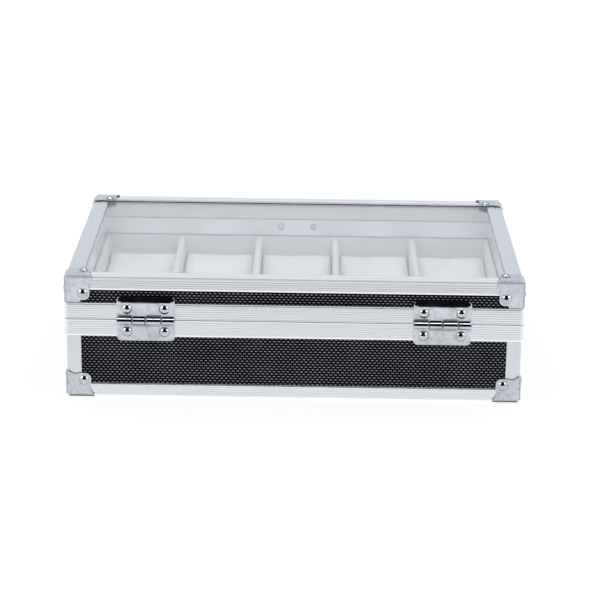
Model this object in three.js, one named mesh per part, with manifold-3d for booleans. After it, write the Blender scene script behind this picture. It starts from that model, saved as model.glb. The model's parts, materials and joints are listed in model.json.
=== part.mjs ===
// Multi glasses organizer: an aluminium-framed display case with a clear lid.
// The lid is hinged along the back (-Y) and latched at the middle of the front (+Y).
// Millimetres, +Z up; the origin is on the table, under the middle of the case.

import * as THREE from 'three';
import { mergeVertices } from 'three/addons/utils/BufferGeometryUtils.js';
import Module from 'manifold-3d';

const wasm = await Module();
wasm.setup();

// ---------------------------------------------------------------- driving dimensions

const width = 310; // over the corner caps, along X
const depth = 207; // over the corner caps, along Y
const height = 87; // over the corner caps, along Z
const seamHeight = 56; // top face of the base rim
const play = 0.3; // gap between neighbouring pieces

// Insets are measured inwards from the outer faces of the corner caps and rims.
const trimInset = 1;
const trimThickness = 1.2;
const trimShelf = 11; // horizontal leg of a trim
const bottomTrimTop = 10;
const topTrimBottom = 76.6;
const postLeg = 10;
const postRadius = 1.5;

const boardInset = trimInset + trimThickness + play;
const boardThickness = 5;
const floorThickness = 3;
const paneThickness = 3;

const rimRadius = 2.5; // outer vertical corners
const rimLegOuter = 2.2; // thickness of the leg outside the wall board
const rimLegInner = 1.2; // thickness of the leg inside the wall board
const rimWeb = 2.7; // thickness between the wall board and the seam
const baseRimBottom = 44.3;
const lidRimTop = 67.5;
const lidRimInnerTop = 69;
const tongueInset = 4.5;
const tongueThickness = 1.8;
const tongueHeight = 2.4;
const tonguePlay = 0.6;

const linerInset = 9.3;
const linerThickness = 2.7;
const compartments = 5;
const dividerThickness = 5;
const padTop = 44;

const capThickness = 0.7;
const capStripLength = 19.1;
const capStripWidth = 2;
const capShoulder = 4.4; // where the strips' slanted ends meet the plate
const capRivetInset = 12.5;
const capLobeRadius = 4.8;
const rivetRadius = 3.45;
const rivetHeight = 1.8;

const hingeSpacing = 200; // centre to centre
const leafWidth = 39;
const upperReach = 16.4; // axis to the far edge of the leaf on the lid
const lowerReach = 14.7; // axis to the far edge of the leaf on the base
const leafThickness = 1.1;
const leafRadius = 3;
const leafRivetSpacing = 25.3;
const leafRivetReach = 8;
const barrelRadius = 2.4;
const knuckleWidths = [10, 8.4, 10, 8.4]; // from -X to +X; the lower leaf has the first
const knuckleGap = 0.7;
const pinRadius = 1.05;
const boreRadius = 1.35;

const latchPlateWidth = 35;
const latchPlateThickness = 1;
const latchPlateBottom = 33;
const latchPlateTop = 54.6;
const latchRivetRadius = 2.1;
const latchRivetHeight = 1.2;
const latchRivetX = 2.9; // inwards from the plate's side edges
const latchRivetZ = 3.6; // inwards from its upper and lower edges
const leverWidth = 21.4;
const leverBottom = 34.6;
const leverTop = 50.3;
const sheet = 1.2; // thickness of ears, flanges and arms
const leverPivot = { out: 3.3, z: 50 }; // out is measured from the rim's front face
const clawPivot = { out: 3.3, z: 42 };
const latchEye = 1.6;
const latchBore = 1;
const latchPin = 0.7;
const coverOut = 5.1; // inner face of the lever's and the claw's front plates
const coverThickness = 1;
const clawPlay = 0.4; // between the lever's flanges and the claw's arms
const clawStep = 51.8; // lower edge of the claw's plate, just above the lever
const clawShoulder = 57.5; // where the claw's plate narrows towards its hook
const clawTop = 64;
const catchBottom = 57.8;
const catchTop = 68.4;
const catchRivetX = 12.25;
const catchLip = { bottom: 59.2, top: 62.2, out: 4.3, half: 6.5 };

// ---------------------------------------------------------------- materials

const look = (color, roughness, metalness) =>
  new THREE.MeshStandardMaterial({ color, roughness, metalness });

const aluminium = look(0xd3d8dd, 0.35, 0.9);
const chrome = look(0xe6e8ea, 0.08, 1);
const blackPanel = look(0x17181b, 0.55, 0);
const velvet = look(0xeeeeec, 0.95, 0);
const glass = new THREE.MeshStandardMaterial({
  color: 0xf4f8f8, roughness: 0.03, metalness: 0, transparent: true, opacity: 0.3,
});

// ---------------------------------------------------------------- solids

function solid(geometry) {
  const bare = geometry.clone();
  bare.deleteAttribute('normal');
  bare.deleteAttribute('uv');
  const merged = mergeVertices(bare, 1e-4);
  return new wasm.Manifold(new wasm.Mesh({
    numProp: 3,
    vertProperties: merged.attributes.position.array,
    triVerts: new Uint32Array(merged.index.array),
  }));
}

function surface(manifold) {
  const mesh = manifold.getMesh();
  const geometry = new THREE.BufferGeometry();
  geometry.setAttribute('position', new THREE.BufferAttribute(mesh.vertProperties, 3));
  geometry.setIndex(new THREE.BufferAttribute(mesh.triVerts, 1));
  return geometry;
}

const join = (first, ...others) =>
  surface(others.reduce((whole, next) => whole.add(solid(next)), solid(first)));

const cut = (first, ...tools) =>
  surface(tools.reduce((whole, tool) => whole.subtract(solid(tool)), solid(first)));

const common = (a, b) => surface(solid(a).intersect(solid(b)));

function closedSurface(positions, indices) {
  const geometry = new THREE.BufferGeometry();
  geometry.setAttribute('position', new THREE.Float32BufferAttribute(positions, 3));
  geometry.setIndex(indices);
  return geometry;
}

// Maps X to Y, Y to Z and Z to X.
const cycleAxes = new THREE.Matrix4().makeBasis(
  new THREE.Vector3(0, 1, 0), new THREE.Vector3(0, 0, 1), new THREE.Vector3(1, 0, 0),
);

const extrude = (shape, length) =>
  new THREE.ExtrudeGeometry(shape, { depth: length, bevelEnabled: false, curveSegments: 5 });

// A shape drawn in X and Z, filling Y from near to far.
const slabXZ = (shape, near, far) =>
  extrude(shape, far - near).rotateX(Math.PI / 2).translate(0, far, 0);

// A shape drawn in Y and Z, filling X from low to high.
const slabYZ = (shape, low, high) =>
  extrude(shape, high - low).applyMatrix4(cycleAxes).translate(low, 0, 0);

const box = (x0, x1, y0, y1, z0, z1) =>
  new THREE.BoxGeometry(x1 - x0, y1 - y0, z1 - z0)
    .translate((x0 + x1) / 2, (y0 + y1) / 2, (z0 + z1) / 2);

const rodX = (radius, length, y, z, sides = 20) =>
  new THREE.CylinderGeometry(radius, radius, length, sides)
    .rotateZ(Math.PI / 2)
    .translate(0, y, z);

function polygon(points) {
  return new THREE.Shape(points.map(([x, y]) => new THREE.Vector2(x, y)));
}

function roundedRectangle(x0, x1, y0, y1, radius) {
  const shape = new THREE.Shape();
  shape.moveTo(x0 + radius, y0);
  shape.absarc(x1 - radius, y0 + radius, radius, -Math.PI / 2, 0);
  shape.absarc(x1 - radius, y1 - radius, radius, 0, Math.PI / 2);
  shape.absarc(x0 + radius, y1 - radius, radius, Math.PI / 2, Math.PI);
  shape.absarc(x0 + radius, y0 + radius, radius, Math.PI, 1.5 * Math.PI);
  return shape;
}

function addHole(shape, x, y, radius) {
  shape.holes.push(new THREE.Path().absarc(x, y, radius, 0, 2 * Math.PI));
  return shape;
}

// A domed rivet head standing on the plane y = 0 and rising along +Y; its foot is sunk a
// little way, so that it joins the plate it stands on.
function dome(radius, rise, sunk = 0.3) {
  const ball = (radius * radius + rise * rise) / (2 * rise);
  const span = Math.asin(radius / ball);
  const profile = [new THREE.Vector2(0, -sunk), new THREE.Vector2(radius, -sunk)];
  const steps = 3;
  for (let i = 0; i < steps; i++) {
    const angle = span * (1 - i / steps);
    profile.push(new THREE.Vector2(
      ball * Math.sin(angle), rise - ball + ball * Math.cos(angle)));
  }
  profile.push(new THREE.Vector2(0, rise));
  return new THREE.LatheGeometry(profile, 12);
}

// ---------------------------------------------------------------- sections round the case

// A section drawn as [inset, z] points, carried round the case with mitred corners.
function ring(section) {
  const positions = [];
  const indices = [];
  const n = section.length;
  for (const [sideX, sideY] of [[1, 1], [-1, 1], [-1, -1], [1, -1]])
    for (const [inset, z] of section)
      positions.push(sideX * (width / 2 - inset), sideY * (depth / 2 - inset), z);
  for (let corner = 0; corner < 4; corner++)
    for (let i = 0; i < n; i++) {
      const here = corner * n;
      const there = ((corner + 1) % 4) * n;
      const j = (i + 1) % n;
      indices.push(here + i, there + i, there + j, here + i, there + j, here + j);
    }
  return closedSurface(positions, indices);
}

// The same section along one side only, lying at -Y, with mitred ends.
function bar(section, alongHalf, acrossHalf) {
  const positions = [];
  const indices = [];
  const n = section.length;
  for (const end of [-1, 1])
    for (const [inset, z] of section)
      positions.push(end * (alongHalf - inset - play / 2), inset - acrossHalf, z);
  for (let i = 0; i < n; i++) {
    const j = (i + 1) % n;
    indices.push(i, n + i, n + j, i, n + j, j);
  }
  const contour = section.map(([inset, z]) => new THREE.Vector2(inset, z));
  for (const [a, b, c] of THREE.ShapeUtils.triangulateShape(contour, []))
    indices.push(a, c, b, n + a, n + b, n + c);
  return closedSurface(positions, indices);
}

const sides = {
  back: { turn: 0, along: width / 2, across: depth / 2 },
  right: { turn: Math.PI / 2, along: depth / 2, across: width / 2 },
  front: { turn: Math.PI, along: width / 2, across: depth / 2 },
  left: { turn: -Math.PI / 2, along: depth / 2, across: width / 2 },
};

const corners = {
  front_right: { turn: 0, x: width / 2, y: depth / 2 },
  front_left: { turn: Math.PI / 2, x: -width / 2, y: depth / 2 },
  back_left: { turn: Math.PI, x: -width / 2, y: -depth / 2 },
  back_right: { turn: -Math.PI / 2, x: width / 2, y: -depth / 2 },
};

// ---------------------------------------------------------------- the case

const group = new THREE.Group();

function add(name, geometry, material, parent = group) {
  const mesh = new THREE.Mesh(geometry, material);
  mesh.name = name;
  parent.add(mesh);
  return mesh;
}

function addTrims(prefix, section) {
  for (const [side, { turn, along, across }] of Object.entries(sides))
    add(`${prefix}_${side}`, bar(section, along, across), aluminium).rotation.z = turn;
}

// Front and back boards run the full width; the side boards stand between them.
function addWalls(prefix, bottom, top) {
  const x = width / 2 - boardInset;
  const y = depth / 2 - boardInset;
  const inX = x - boardThickness;
  const inY = y - boardThickness;
  add(`${prefix}_front`, box(-x, x, inY, y, bottom, top), blackPanel);
  add(`${prefix}_back`, box(-x, x, -y, -inY, bottom, top), blackPanel);
  add(`${prefix}_left`, box(-x, -inX, play - inY, inY - play, bottom, top), blackPanel);
  add(`${prefix}_right`, box(inX, x, play - inY, inY - play, bottom, top), blackPanel);
}

function addPosts(prefix, bottom, top) {
  const outer = -trimInset;
  const inner = -trimInset - trimThickness;
  const end = -trimInset - postLeg;
  const shape = new THREE.Shape();
  shape.moveTo(inner, end);
  shape.lineTo(outer, end);
  shape.absarc(outer - postRadius, outer - postRadius, postRadius, 0, Math.PI / 2);
  shape.lineTo(end, outer);
  shape.lineTo(end, inner);
  shape.lineTo(inner, inner);
  for (const [name, { turn, x, y }] of Object.entries(corners)) {
    const post = add(`${prefix}_${name}`, extrude(shape, top - bottom), aluminium);
    post.position.set(x, y, bottom);
    post.rotation.z = turn;
  }
}

function roundCorners(geometry) {
  const x = width / 2;
  const y = depth / 2;
  return common(geometry, extrude(roundedRectangle(-x, x, -y, y, rimRadius), height));
}

function addBase() {
  const boardBottom = boardInset + floorThickness + play;
  const boardTop = seamHeight - rimWeb - play;
  const x = width / 2 - boardInset;
  const y = depth / 2 - boardInset;
  add('bottom_board', box(-x, x, -y, y, boardInset, boardInset + floorThickness), blackPanel);
  addWalls('base_wall', boardBottom, boardTop);
  addPosts('base_post', bottomTrimTop + play, baseRimBottom - play);

  const shelf = trimInset + trimShelf;
  const inner = trimInset + trimThickness;
  addTrims('bottom_trim', [
    [trimInset, trimInset], [trimInset, bottomTrimTop],
    [inner, bottomTrimTop], [inner, inner], [shelf, inner], [shelf, trimInset],
  ]);

  const slot = boardInset + boardThickness + play;
  const web = seamHeight - rimWeb;
  add('base_rim', roundCorners(ring([
    [0, baseRimBottom], [0, seamHeight],
    [tongueInset, seamHeight], [tongueInset, seamHeight + tongueHeight],
    [tongueInset + tongueThickness, seamHeight + tongueHeight],
    [tongueInset + tongueThickness, seamHeight],
    [slot + rimLegInner, seamHeight], [slot + rimLegInner, baseRimBottom],
    [slot, baseRimBottom], [slot, web], [rimLegOuter, web], [rimLegOuter, baseRimBottom],
  ])), aluminium);
}

function addLid() {
  const seam = seamHeight + play;
  const shelf = trimInset + trimShelf;
  const inner = trimInset + trimThickness;
  const trimTop = height - trimInset;
  const paneTop = trimTop - trimThickness - play;
  const boardTop = paneTop - paneThickness - play;
  const grooveTop = seam + rimWeb;
  const web = grooveTop + 1.7;
  const slot = boardInset + boardThickness + play;
  const grooveOuter = tongueInset - tonguePlay;
  const grooveInner = tongueInset + tongueThickness + tonguePlay;

  const x = width / 2 - boardInset;
  const y = depth / 2 - boardInset;
  add('lid_glass', box(-x, x, -y, y, paneTop - paneThickness, paneTop), glass);
  addWalls('lid_wall', web + play, boardTop);
  addPosts('lid_post', lidRimTop + play, topTrimBottom - play);
  addTrims('top_trim', [
    [trimInset, topTrimBottom], [trimInset, trimTop],
    [shelf, trimTop], [shelf, trimTop - trimThickness],
    [inner, trimTop - trimThickness], [inner, topTrimBottom],
  ]);
  add('lid_rim', roundCorners(ring([
    [0, seam], [0, lidRimTop],
    [rimLegOuter, lidRimTop], [rimLegOuter, web], [slot, web], [slot, lidRimInnerTop],
    [slot + rimLegInner, lidRimInnerTop], [slot + rimLegInner, seam],
    [grooveInner, seam], [grooveInner, grooveTop], [grooveOuter, grooveTop],
    [grooveOuter, seam],
  ])), aluminium);
  add('lid_lining', ring([
    [slot, lidRimInnerTop + play], [slot, boardTop],
    [slot + rimLegInner, boardTop], [slot + rimLegInner, lidRimInnerTop + play],
  ]), velvet);
}

// ---------------------------------------------------------------- corner caps

// One face of a cap, lying at z = 0 with the case's corner at the origin and the plate
// reaching towards -X and -Y: a plate rounded at the rivet, and a strip along each edge.
function capFace(riveted) {
  const plateSize = capRivetInset + capLobeRadius;
  const shape = new THREE.Shape();
  shape.moveTo(0, 0);
  shape.lineTo(capStripLength, 0);
  shape.lineTo(capStripLength, capStripWidth);
  shape.lineTo(plateSize, capShoulder);
  shape.absarc(capRivetInset, capRivetInset, capLobeRadius, 0, Math.PI / 2);
  shape.lineTo(capShoulder, plateSize);
  shape.lineTo(capStripWidth, capStripLength);
  shape.lineTo(0, capStripLength);
  const plate = extrude(shape, capThickness)
    .rotateZ(Math.PI)
    .translate(0, 0, -capThickness);
  if (!riveted) return plate;
  const head = dome(rivetRadius, rivetHeight)
    .rotateX(Math.PI / 2)
    .translate(-capRivetInset, -capRivetInset, 0);
  return join(plate, head);
}

function cornerCap(flatRiveted) {
  const second = capFace(true).applyMatrix4(cycleAxes);
  const third = capFace(true).applyMatrix4(cycleAxes).applyMatrix4(cycleAxes);
  return join(capFace(flatRiveted), second, third);
}

function addCaps() {
  const diagonal = new THREE.Vector3(1, 1, 0).normalize();
  for (const [name, { turn, x, y }] of Object.entries(corners)) {
    const lidCorner = new THREE.Group();
    lidCorner.position.set(x, y, height);
    lidCorner.rotation.z = turn;
    add(`lid_cap_${name}`, cornerCap(true), chrome, lidCorner);

    const baseCorner = new THREE.Group();
    baseCorner.position.set(x, y, 0);
    baseCorner.rotation.z = turn;
    const baseCap = add(`base_cap_${name}`, cornerCap(false), chrome, baseCorner);
    baseCap.quaternion.setFromAxisAngle(diagonal, Math.PI);
    group.add(lidCorner, baseCorner);
  }
}

// ---------------------------------------------------------------- velvet interior

function addInterior() {
  const bottom = boardInset + floorThickness + play;
  const inset = linerInset + linerThickness;
  add('tray_liner', ring([
    [linerInset, bottom], [linerInset, seamHeight - 0.1],
    [inset, seamHeight - 0.1], [inset, bottom],
  ]), velvet);

  const halfX = width / 2 - inset;
  const halfY = depth / 2 - inset - play;
  const free = 2 * halfX - (compartments - 1) * dividerThickness;
  const bay = free / compartments;
  for (let i = 0; i < compartments; i++) {
    const left = -halfX + i * (bay + dividerThickness);
    add(`pad_${i + 1}`,
      box(left + play, left + bay - play, -halfY, halfY, bottom, padTop), velvet);
    if (i < compartments - 1)
      add(`divider_${i + 1}`,
        box(left + bay, left + bay + dividerThickness, -halfY, halfY, bottom, seamHeight),
        velvet);
  }
}

// ---------------------------------------------------------------- hinges

function knuckles() {
  const total = knuckleWidths.reduce((sum, w) => sum + w, 0)
    + knuckleGap * (knuckleWidths.length - 1);
  let start = -total / 2;
  return knuckleWidths.map((w) => {
    const span = [start, start + w];
    start += w + knuckleGap;
    return span;
  });
}

// A leaf in the hinge's own frame: the pin lies along X through the origin, the case is
// towards +Y, and up is +1 for the leaf on the lid and -1 for the leaf on the base.
function hingeLeaf(up, spans) {
  const back = barrelRadius;
  const face = back - leafThickness;
  const edge = barrelRadius + 0.4;
  const outline = new THREE.Shape();
  const x = leafWidth / 2;
  const far = up > 0 ? upperReach : -lowerReach;
  const bend = far - up * leafRadius;
  outline.moveTo(-x, up * edge);
  outline.lineTo(x, up * edge);
  outline.lineTo(x, bend);
  outline.quadraticCurveTo(x, far, x - leafRadius, far);
  outline.lineTo(leafRadius - x, far);
  outline.quadraticCurveTo(-x, far, -x, bend);
  const pieces = [slabXZ(outline, face, back)];
  for (const [from, to] of spans) {
    const middle = (from + to) / 2;
    pieces.push(rodX(barrelRadius, to - from, 0, 0).translate(middle, 0, 0));
    pieces.push(box(from, to, face, back, Math.min(0, up * edge * 1.1),
      Math.max(0, up * edge * 1.1)));
  }
  for (const side of [-1, 1])
    pieces.push(dome(rivetRadius, rivetHeight)
      .rotateX(Math.PI)
      .translate(side * leafRivetSpacing / 2, face, up * leafRivetReach));
  return cut(join(...pieces), rodX(boreRadius, leafWidth + 2, 0, 0));
}

function addHinges() {
  const spans = knuckles();
  const lower = hingeLeaf(-1, [spans[0], spans[2]]);
  const upper = hingeLeaf(1, [spans[1], spans[3]]);
  const pinLength = spans[3][1] - spans[0][0];
  for (const [name, side] of [['left', -1], ['right', 1]]) {
    const hinge = new THREE.Group();
    hinge.position.set(side * hingeSpacing / 2, -(depth / 2 + play + barrelRadius),
      seamHeight + play / 2);
    add(`hinge_upper_${name}`, upper, chrome, hinge);
    add(`hinge_lower_${name}`, lower, chrome, hinge);
    add(`hinge_pin_${name}`, rodX(pinRadius, pinLength, 0, 0), chrome, hinge);
    group.add(hinge);
  }
}

// ---------------------------------------------------------------- latch

// Latch pieces are drawn with y = 0 on the rim's front face.
function latchBase() {
  const half = latchPlateWidth / 2;
  const face = play + latchPlateThickness;
  const { out, z } = leverPivot;
  const plate = slabXZ(
    roundedRectangle(-half, half, latchPlateBottom, latchPlateTop, 2), play, face);
  const ear = new THREE.Shape();
  ear.moveTo(face - 0.1, z - 2.4);
  ear.lineTo(out, z - latchEye);
  ear.absarc(out, z, latchEye, -Math.PI / 2, 0.636 * Math.PI);
  ear.lineTo(face - 0.1, z + 0.8);
  addHole(ear, out, z, latchBore);
  const earInner = leverWidth / 2 - 2 * sheet - play;
  const pieces = [
    plate,
    slabYZ(ear, earInner, earInner + sheet),
    slabYZ(ear, -earInner - sheet, -earInner),
  ];
  for (const side of [-1, 1])
    for (const rivetZ of [latchPlateBottom + latchRivetZ, latchPlateTop - latchRivetZ])
      pieces.push(dome(latchRivetRadius, latchRivetHeight)
        .translate(side * (half - latchRivetX), face, rivetZ));
  return join(...pieces);
}

function latchLever() {
  const half = leverWidth / 2;
  const cover = box(-half, half, coverOut, coverOut + coverThickness, leverBottom, leverTop);
  const lip = slabYZ(polygon([
    [coverOut, leverBottom + 0.8], [coverOut, leverBottom],
    [coverOut + 0.9, leverBottom - 1.3], [coverOut + 1.4, leverBottom - 0.9],
    [coverOut + coverThickness, leverBottom + 0.8],
  ]), -half, half);
  const flange = new THREE.Shape();
  flange.moveTo(coverOut + 0.1, leverBottom + 1.4);
  flange.lineTo(coverOut + 0.1, leverTop);
  flange.lineTo(leverPivot.out, leverPivot.z + latchEye);
  flange.absarc(leverPivot.out, leverPivot.z, latchEye, Math.PI / 2, Math.PI);
  flange.lineTo(clawPivot.out - latchEye, clawPivot.z);
  flange.absarc(clawPivot.out, clawPivot.z, latchEye, Math.PI, 1.5 * Math.PI);
  addHole(flange, leverPivot.out, leverPivot.z, latchBore);
  addHole(flange, clawPivot.out, clawPivot.z, latchBore);
  return join(cover, lip, slabYZ(flange, half - sheet, half),
    slabYZ(flange, -half, sheet - half));
}

function latchClaw() {
  const inner = leverWidth / 2 + clawPlay;
  const outer = inner + sheet;
  const { out, z } = clawPivot;
  const face = coverOut + coverThickness;
  const back = catchLip.out - 0.6;
  const arm = new THREE.Shape();
  arm.moveTo(out - latchEye, z);
  arm.absarc(out, z, latchEye, Math.PI, 2 * Math.PI);
  arm.lineTo(out + latchEye, leverPivot.z + 0.5);
  arm.lineTo(face, leverPivot.z + 2.2);
  arm.lineTo(face, clawShoulder);
  arm.lineTo(back, clawShoulder);
  arm.lineTo(back, clawShoulder - 1.5);
  arm.lineTo(out - latchEye, clawShoulder - 3.5);
  addHole(arm, out, z, latchBore);
  const hook = slabXZ(polygon([
    [-outer, clawStep], [outer, clawStep], [outer, clawShoulder],
    [8.2, clawTop - 3], [7.2, clawTop], [-7.2, clawTop], [-8.2, clawTop - 3],
    [-outer, clawShoulder],
  ]), coverOut, face);
  return join(hook, slabYZ(arm, inner, outer), slabYZ(arm, -outer, -inner));
}

function catchPlate() {
  const half = latchPlateWidth / 2 - 0.5;
  const face = play + latchPlateThickness;
  const plate = slabXZ(roundedRectangle(-half, half, catchBottom, catchTop, 2), play, face);
  const { bottom, top, out } = catchLip;
  const lip = slabYZ(polygon([
    [face - 0.1, bottom], [out, bottom], [out, top], [out - 1, top],
    [out - 1, bottom + sheet], [face - 0.1, bottom + sheet],
  ]), -catchLip.half, catchLip.half);
  const rivetZ = (catchBottom + catchTop) / 2 + 0.1;
  const heads = [-1, 1].map((side) =>
    dome(rivetRadius, rivetHeight).translate(side * catchRivetX, face, rivetZ));
  return join(plate, lip, ...heads);
}

function addLatch() {
  const latch = new THREE.Group();
  latch.position.y = depth / 2;
  add('catch_plate', catchPlate(), chrome, latch);
  add('latch_base', latchBase(), chrome, latch);
  add('latch_lever', latchLever(), chrome, latch);
  add('latch_claw', latchClaw(), chrome, latch);
  add('lever_pin', rodX(latchPin, leverWidth + 0.4, leverPivot.out, leverPivot.z, 12),
    chrome, latch);
  add('claw_pin', rodX(latchPin, leverWidth + 4.6, clawPivot.out, clawPivot.z, 12),
    chrome, latch);
  group.add(latch);
}

addBase();
addLid();
addCaps();
addInterior();
addHinges();
addLatch();

export default group;
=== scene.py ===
"""Multi glasses organizer: an aluminium-framed display case with a clear, hinged lid.

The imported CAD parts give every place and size. Each part is drawn again here as a finer
mesh that rides on the same body. Lengths are in millimetres until a mesh is made.
"""

import json
import math

import bmesh
import bpy
from mathutils import Matrix, Vector, noise

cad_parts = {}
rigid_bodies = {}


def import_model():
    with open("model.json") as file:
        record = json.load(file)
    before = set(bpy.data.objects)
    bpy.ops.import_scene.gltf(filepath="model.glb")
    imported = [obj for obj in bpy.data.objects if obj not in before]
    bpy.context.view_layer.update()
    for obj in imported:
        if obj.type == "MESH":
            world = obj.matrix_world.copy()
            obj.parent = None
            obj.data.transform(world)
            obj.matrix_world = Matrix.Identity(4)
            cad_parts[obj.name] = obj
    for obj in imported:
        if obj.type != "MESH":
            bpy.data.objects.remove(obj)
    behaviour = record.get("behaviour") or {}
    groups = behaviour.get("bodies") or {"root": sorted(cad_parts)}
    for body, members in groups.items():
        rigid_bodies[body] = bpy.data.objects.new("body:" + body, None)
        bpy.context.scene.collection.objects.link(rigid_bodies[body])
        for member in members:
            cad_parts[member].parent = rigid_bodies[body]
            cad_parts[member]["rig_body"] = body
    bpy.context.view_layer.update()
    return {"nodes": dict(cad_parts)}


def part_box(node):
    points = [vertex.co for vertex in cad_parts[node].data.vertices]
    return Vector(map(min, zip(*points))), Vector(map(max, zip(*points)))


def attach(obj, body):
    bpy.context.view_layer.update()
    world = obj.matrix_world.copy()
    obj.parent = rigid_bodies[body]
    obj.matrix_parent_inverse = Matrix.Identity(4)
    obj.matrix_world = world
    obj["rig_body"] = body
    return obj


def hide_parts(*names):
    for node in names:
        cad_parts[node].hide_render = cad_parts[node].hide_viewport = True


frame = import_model()
BODY = {node: obj["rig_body"] for node, obj in frame["nodes"].items()}
scene = bpy.context.scene

MM = 0.001


def span(node):
    """Lowest and highest corner of a CAD node, in millimetres."""
    low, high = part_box(node)
    return low / MM, high / MM


def centre(node):
    low, high = span(node)
    return (low + high) / 2


# ------------ sizes from the frame

HALF_X = span("base_rim")[1].x
HALF_Y = span("base_rim")[1].y
SEAM = span("divider_1")[1].z
TRIM_INSET = HALF_X - span("top_trim_right")[1].x
TRIM_SHELF = HALF_Y + span("top_trim_back")[1].y
POST_END = HALF_X - span("base_post_front_right")[0].x
CASE_TOP = span("top_trim_front")[1].z + TRIM_INSET
SIDES = ("back", "right", "front", "left")
CORNERS = {
    "front_right": (1, 1), "front_left": (-1, 1),
    "back_left": (-1, -1), "back_right": (1, -1),
}

RIM_RADIUS = 2.5
RIM_INNER = 9.0  # inset of the rims' inner faces
BOARD_FRONT = 3.1  # insets of a wall board's two faces
BOARD_BACK = 7.3
BOARD_END = 4  # inset of its cut ends
SHEET = 1.2  # thickness of the aluminium extrusions
RIB_PITCH = 1.6
RIB_WIDTH = 0.5
RIB_DEPTH = 0.1
CUT_HEIGHT = 0.8  # a machined edge, seen from the side
CUT_INSET = 0.3
LANDS = (2.1, 6.4, 2.3, 0.12)  # insets of the two lands on a top trim, their width, the step

CAP_THICKNESS = 0.7
CAP_FOLD = 2.0  # radius of a cap's folded edges
CAP_REACH = HALF_X - span("lid_cap_front_right")[0].x
CAP_PLATE = 17.3
CAP_RIVET = 12.5
CAP_LOBE = 4.8
RIVET_RADIUS = 3.45
RIVET_HEIGHT = 1.8

LEAF_HALF = (span("hinge_lower_left")[1].x - span("hinge_lower_left")[0].x) / 2
LEAF_THICKNESS = 1.1
LEAF_BEVEL = 3.2
LEAF_RIVET = (12.65, 8)  # from the hinge's middle, and from its pin
KNUCKLES = (10, 8.4, 10, 8.4)
KNUCKLE_GAP = 0.7
BARREL_RADIUS = 2.4

LATCH_PLATE = (0.3, 1.3)  # back and front of the riveted plates, out from the rim
LATCH_COVER = 6.1  # front of the lever and the claw, out from the rim
LATCH_EYE = 1.6  # metal round a latch pin
LATCH_METAL = 1.1
LEVER_BOTTOM = 34.6
CLAW_STEP = 51.8  # the claw's plate stands over the lever, and narrows at its shoulder
CLAW_SHOULDER = 57.5
CATCH_RIVET = (12.25, 63.2)  # from the middle, and above the table

RELIEF_PITCH = 3.1  # one bump of the panels, along the side
RELIEF_ROW = 1.8
RELIEF_HEIGHT = 0.7
CREST = "crest"  # a mesh attribute: 1 along the top of a bump, 0 at its foot


# ------------ materials

def new_material(name):
    material = bpy.data.materials.new(name)
    material.use_nodes = True
    return material, material.node_tree, material.node_tree.nodes["Principled BSDF"]


def feed(tree, node, inputs):
    """Fills inputs of a shader node, each with a value or from another node's socket."""
    for key, value in inputs.items():
        if isinstance(value, bpy.types.NodeSocket):
            tree.links.new(value, node.inputs[key])
        else:
            node.inputs[key].default_value = value


def add_node(tree, kind, inputs, **settings):
    node = tree.nodes.new("ShaderNode" + kind)
    for key, value in settings.items():
        setattr(node, key, value)
    feed(tree, node, inputs)
    return node


def grain(tree, scale, detail=3.0, stretch=(1, 1, 1)):
    """Noise in the object's own coordinates; scale is features per metre."""
    place = add_node(tree, "TexCoord", {}).outputs["Object"]
    mapped = add_node(tree, "Mapping", {"Vector": place, "Scale": stretch})
    texture = add_node(tree, "TexNoise", {
        "Vector": mapped.outputs["Vector"], "Scale": scale, "Detail": detail})
    return texture.outputs["Fac"]


def ranged(tree, value, low, high, start=0.3, end=0.7):
    node = add_node(tree, "MapRange", {
        "Value": value, "From Min": start, "From Max": end, "To Min": low, "To Max": high})
    return node.outputs["Result"]


def mixed(tree, factor, first, second):
    """A colour between two; 6, 7 and 2 are the node's colour sockets."""
    node = add_node(tree, "Mix", {0: factor, 6: first, 7: second}, data_type="RGBA")
    return node.outputs[2]


def bumped(tree, height, strength, distance):
    node = add_node(tree, "Bump", {
        "Height": height, "Strength": strength, "Distance": distance * MM})
    return node.outputs["Normal"]


def crevices(tree, distance, low, high):
    """1 in the open and 0 in gaps and seams: the mask for the shade that is painted into the
    colour there.
    """
    occlusion = add_node(tree, "AmbientOcclusion", {"Distance": distance * MM}, samples=6)
    return ranged(tree, occlusion.outputs["AO"], 0, 1, low, high)


def rgb(red, green, blue):
    return (red, green, blue, 1)


def aluminium(name, stretch, painted_dimming=1.0):
    """Satin anodised extrusion, drawn along the axes where stretch is small. A factor below 1
    darkens it: painted shade, a dimmer copy of the same metal."""
    def shade(*colour):
        return rgb(*(painted_dimming * part for part in colour))

    material, tree, shader = new_material(name)
    drawn = grain(tree, 3500, 2, stretch)
    smudges = grain(tree, 22, 4)
    metal = mixed(tree, drawn, shade(0.75, 0.79, 0.84), shade(0.83, 0.87, 0.91))
    clean = mixed(tree, ranged(tree, smudges, 0, 0.6), metal, shade(0.83, 0.86, 0.9))
    # painted shade: the metal's colour darkens in gaps and seams, from ambient occlusion
    crevice_painted_shade = mixed(tree, crevices(tree, 0.8, 0.05, 0.45), rgb(0.2, 0.21, 0.23), clean)
    feed(tree, shader, {
        "Base Color": crevice_painted_shade, "Roughness": ranged(tree, smudges, 0.27, 0.33),
        "Normal": bumped(tree, drawn, 0.1, 0.01), "Metallic": 1})
    return material


def bare_metal_highlight():
    """Bare metal at the machined edges, with fine tool marks; it also serves as a painted
    highlight along those edges and on the long trims' lands.
    """
    material, tree, shader = new_material("bare_metal_highlight")
    marks = grain(tree, 4200, 3, (0.05, 0.05, 1))
    metal = mixed(tree, marks, rgb(0.92, 0.93, 0.94), rgb(0.97, 0.97, 0.97))
    feed(tree, shader, {
        "Base Color": metal, "Roughness": ranged(tree, marks, 0.16, 0.24), "Metallic": 1})
    return material


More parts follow.
